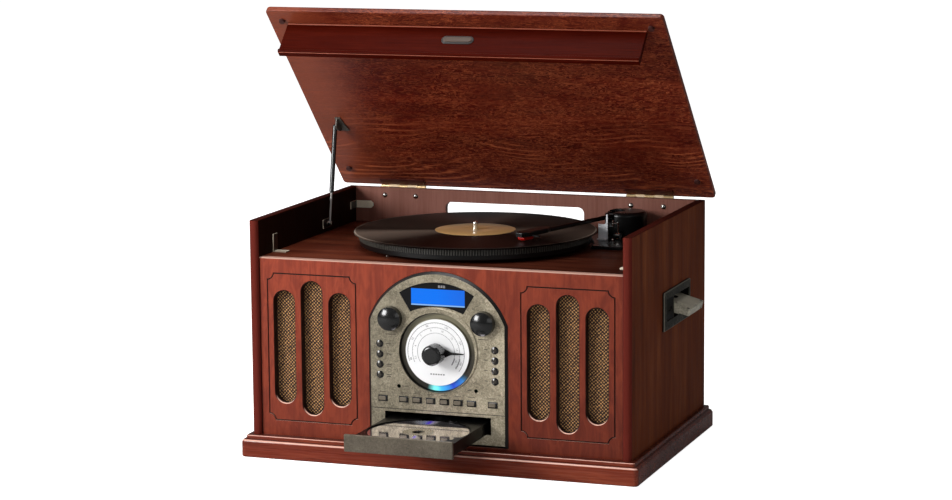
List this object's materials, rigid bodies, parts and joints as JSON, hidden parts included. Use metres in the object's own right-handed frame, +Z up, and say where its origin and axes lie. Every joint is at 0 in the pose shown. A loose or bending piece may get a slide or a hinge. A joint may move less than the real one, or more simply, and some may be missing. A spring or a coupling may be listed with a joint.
{
  "type": "stereo music centre",
  "caption": "Wooden stereo music centre with a hinged lid over a record deck, a tuning dial, keys, a disc tray, a side cassette slot and loudspeakers.",
  "frame": {"origin": "centre of the plinth's flat underside", "axes": "+X to the right of the front, +Y to the back, +Z up; the control panel faces -Y"},
  "size_m": [0.5174, 0.4668, 0.5432],
  "materials": {
    "cabinet_wood": "satin red-brown mahogany stain",
    "front_wood": "satin orange-red mahogany stain",
    "rear_board": "thin stained hardboard",
    "deck_wood": "satin brown veneer",
    "lid_wood": "satin figured mahogany",
    "champagne_panel": "metallic champagne moulding",
    "display_lens": "smoked clear lens",
    "dial_plastic": "white scale disc in a dark ring",
    "black_knob": "glossy black",
    "pointer_black": "glossy black",
    "grille_cloth": "woven gold and brown grille cloth",
    "speaker_black": "black basket and paper cone",
    "tray_plastic": "grey-green metallic moulding",
    "tray_black": "black moulding",
    "disc_mirror": "reflective disc",
    "drive_steel": "bare folded steel",
    "cassette_trim": "grey metallic bezel",
    "black_key": "black key",
    "cassette_shell": "smoky cassette shell",
    "platter_metal": "dark painted die casting",
    "vinyl": "grooved black vinyl",
    "pulley_brass": "turned brass",
    "belt_rubber": "black rubber",
    "motor_steel": "plated can",
    "arm_black": "black moulding",
    "arm_tube": "black arm and headshell",
    "cartridge_red": "red needle holder",
    "lever_chrome": "bright plated",
    "switch_metal": "bright plated",
    "apron_wood": "smooth dark red-brown stain",
    "hinge_brass": "brass hinge leaves, steel stay bracket",
    "bumper_rubber": "black rubber",
    "stay_black": "black sleeve on a thin rod",
    "bracket_zinc": "zinc plated angle",
    "screw_steel": "plated screw heads",
    "rest_steel": "bright folded plate",
    "board_green": "printed circuit board",
    "key_caps": "metallic champagne caps",
    "round_caps": "metallic champagne caps"
  },
  "bodies": {
    "root": {"plinth": "cabinet_wood", "side_left": "cabinet_wood", "side_right": "cabinet_wood", "front_panel": "front_wood", "rear_panel": "rear_board", "deck": "deck_wood", "control_panel": "champagne_panel", "display_window": "display_lens", "dial_face": "dial_plastic", "grille_cloths": "grille_cloth", "speakers": "speaker_black", "disc_drive": "drive_steel", "cassette_deck": "cassette_trim", "drive_motor": "motor_steel", "drive_belt": "belt_rubber", "arm_base": "arm_black", "circuit_boards": "board_green", "cabinet_hinges": "hinge_brass", "brackets": "bracket_zinc", "screws": "screw_steel", "spindle_bush": "pulley_brass", "arm_rest": "rest_steel"},
    "lid": {"lid": "lid_wood", "lid_apron": "apron_wood", "lid_fittings": "hinge_brass", "lid_bumpers": "bumper_rubber"},
    "stay": {"stay_rod": "stay_black"},
    "tray": {"cd_tray": "tray_black", "tray_front": "tray_plastic"},
    "disc": {"compact_disc": "disc_mirror"},
    "turret": {"arm_turret": "arm_black"},
    "arm": {"tonearm": "arm_tube", "cartridge": "cartridge_red"},
    "cue": {"cue_lever": "lever_chrome"},
    "cassette": {"cassette": "cassette_shell"},
    "tuning": {"tuning_knob": "black_knob", "dial_pointer": "pointer_black"},
    "volume": {"volume_knob": "black_knob"},
    "function": {"function_knob": "black_knob"},
    "platter": {"platter": "platter_metal", "record": "vinyl"},
    "pulley": {"motor_pulley": "pulley_brass"},
    "speed": {"speed_switch": "switch_metal"},
    "eject": {"eject_key": "black_key"},
    "row_key_1_body": {"row_key_1": "key_caps"},
    "row_key_2_body": {"row_key_2": "key_caps"},
    "row_key_3_body": {"row_key_3": "key_caps"},
    "row_key_4_body": {"row_key_4": "key_caps"},
    "row_key_5_body": {"row_key_5": "key_caps"},
    "row_key_6_body": {"row_key_6": "key_caps"},
    "row_key_7_body": {"row_key_7": "key_caps"},
    "row_key_8_body": {"row_key_8": "key_caps"},
    "round_button_left_1_body": {"round_button_left_1": "round_caps"},
    "round_button_left_2_body": {"round_button_left_2": "round_caps"},
    "round_button_left_3_body": {"round_button_left_3": "round_caps"},
    "round_button_left_4_body": {"round_button_left_4": "round_caps"},
    "round_button_right_1_body": {"round_button_right_1": "round_caps"},
    "round_button_right_2_body": {"round_button_right_2": "round_caps"},
    "round_button_right_3_body": {"round_button_right_3": "round_caps"},
    "round_button_right_4_body": {"round_button_right_4": "round_caps"}
  },
  "joints": [
    {"name": "lid_hinge", "type": "hinge", "parent": "root", "child": "lid", "pos_m": [0, 0.17325, 0.292], "axis": [-1, 0, 0], "range_deg": [-45, 0]},
    {"name": "stay_fold", "type": "hinge", "parent": "root", "child": "stay", "pos_m": [-0.226, 0.05925, 0.257], "axis": [-1, 0, 0], "range_deg": [-95.5, 0.5]},
    {"name": "tray_slide", "type": "slide", "parent": "root", "child": "tray", "axis": [0, -1, 0], "range_m": [-0.13, 0]},
    {"name": "disc_lift", "type": "slide", "parent": "tray", "child": "disc", "axis": [0, 0, 1], "range_m": [0, 0.04]},
    {"name": "arm_yaw", "type": "hinge", "parent": "root", "child": "turret", "pos_m": [0.136, 0.12725, 0.273], "axis": [0, 0, 1], "range_deg": [-16.5, 15.05]},
    {"name": "arm_lift", "type": "hinge", "parent": "turret", "child": "arm", "pos_m": [0.136, 0.12725, 0.273], "axis": [-0.9539, 0.3001, 0], "range_deg": [0, 5]},
    {"name": "cue_turn", "type": "hinge", "parent": "root", "child": "cue", "pos_m": [0.152, 0.085, 0.2545], "axis": [1, 0, 0], "range_deg": [0, 60]},
    {"name": "cassette_slide", "type": "slide", "parent": "root", "child": "cassette", "axis": [0.9613, 0, -0.2756], "range_m": [-0.018, 0.06]},
    {"name": "tuning_turn", "type": "hinge", "parent": "root", "child": "tuning", "pos_m": [0, -0.15525, 0.142], "axis": [0, -1, 0], "range_deg": [-35, 215]},
    {"name": "volume_turn", "type": "hinge", "parent": "root", "child": "volume", "pos_m": [-0.0588, -0.15525, 0.1808], "axis": [0, 1, 0], "range_deg": [-150, 150]},
    {"name": "function_turn", "type": "hinge", "parent": "root", "child": "function", "pos_m": [0.0588, -0.15525, 0.1808], "axis": [0, 1, 0], "range_deg": [-60, 60]},
    {"name": "platter_spin", "type": "hinge", "parent": "root", "child": "platter", "pos_m": [-0.0095, 0.00975, 0.25], "axis": [0, 0, 1], "continuous": true},
    {"name": "pulley_spin", "type": "hinge", "parent": "root", "child": "pulley", "pos_m": [-0.0953, 0.08174, 0.25], "axis": [0, 0, 1], "continuous": true},
    {"name": "speed_slide", "type": "slide", "parent": "root", "child": "speed", "axis": [1, 0, 0], "range_m": [-0.005, 0.005]},
    {"name": "eject_press", "type": "slide", "parent": "root", "child": "eject", "axis": [-1, 0, 0], "range_m": [0, 0.004], "stiffness_N_per_m": 300},
    {"name": "row_key_1_press", "type": "slide", "parent": "root", "child": "row_key_1_body", "axis": [0, 1, 0], "range_m": [0, 0.0015], "stiffness_N_per_m": 250},
    {"name": "row_key_2_press", "type": "slide", "parent": "root", "child": "row_key_2_body", "axis": [0, 1, 0], "range_m": [0, 0.0015], "stiffness_N_per_m": 250},
    {"name": "row_key_3_press", "type": "slide", "parent": "root", "child": "row_key_3_body", "axis": [0, 1, 0], "range_m": [0, 0.0015], "stiffness_N_per_m": 250},
    {"name": "row_key_4_press", "type": "slide", "parent": "root", "child": "row_key_4_body", "axis": [0, 1, 0], "range_m": [0, 0.0015], "stiffness_N_per_m": 250},
    {"name": "row_key_5_press", "type": "slide", "parent": "root", "child": "row_key_5_body", "axis": [0, 1, 0], "range_m": [0, 0.0015], "stiffness_N_per_m": 250},
    {"name": "row_key_6_press", "type": "slide", "parent": "root", "child": "row_key_6_body", "axis": [0, 1, 0], "range_m": [0, 0.0015], "stiffness_N_per_m": 250},
    {"name": "row_key_7_press", "type": "slide", "parent": "root", "child": "row_key_7_body", "axis": [0, 1, 0], "range_m": [0, 0.0015], "stiffness_N_per_m": 250},
    {"name": "row_key_8_press", "type": "slide", "parent": "root", "child": "row_key_8_body", "axis": [0, 1, 0], "range_m": [0, 0.0015], "stiffness_N_per_m": 250},
    {"name": "round_button_left_1_press", "type": "slide", "parent": "root", "child": "round_button_left_1_body", "axis": [0, 1, 0], "range_m": [0, 0.0015], "stiffness_N_per_m": 250},
    {"name": "round_button_left_2_press", "type": "slide", "parent": "root", "child": "round_button_left_2_body", "axis": [0, 1, 0], "range_m": [0, 0.0015], "stiffness_N_per_m": 250},
    {"name": "round_button_left_3_press", "type": "slide", "parent": "root", "child": "round_button_left_3_body", "axis": [0, 1, 0], "range_m": [0, 0.0015], "stiffness_N_per_m": 250},
    {"name": "round_button_left_4_press", "type": "slide", "parent": "root", "child": "round_button_left_4_body", "axis": [0, 1, 0], "range_m": [0, 0.0015], "stiffness_N_per_m": 250},
    {"name": "round_button_right_1_press", "type": "slide", "parent": "root", "child": "round_button_right_1_body", "axis": [0, 1, 0], "range_m": [0, 0.0015], "stiffness_N_per_m": 250},
    {"name": "round_button_right_2_press", "type": "slide", "parent": "root", "child": "round_button_right_2_body", "axis": [0, 1, 0], "range_m": [0, 0.0015], "stiffness_N_per_m": 250},
    {"name": "round_button_right_3_press", "type": "slide", "parent": "root", "child": "round_button_right_3_body", "axis": [0, 1, 0], "range_m": [0, 0.0015], "stiffness_N_per_m": 250},
    {"name": "round_button_right_4_press", "type": "slide", "parent": "root", "child": "round_button_right_4_body", "axis": [0, 1, 0], "range_m": [0, 0.0015], "stiffness_N_per_m": 250}
  ],
  "couplings": [
    {"joint": "stay_fold", "follows": "lid_hinge", "ratio": 2.1111},
    {"joint": "cue_turn", "follows": "arm_lift", "ratio": 12},
    {"joint": "pulley_spin", "follows": "platter_spin", "ratio": 15.333}
  ]
}
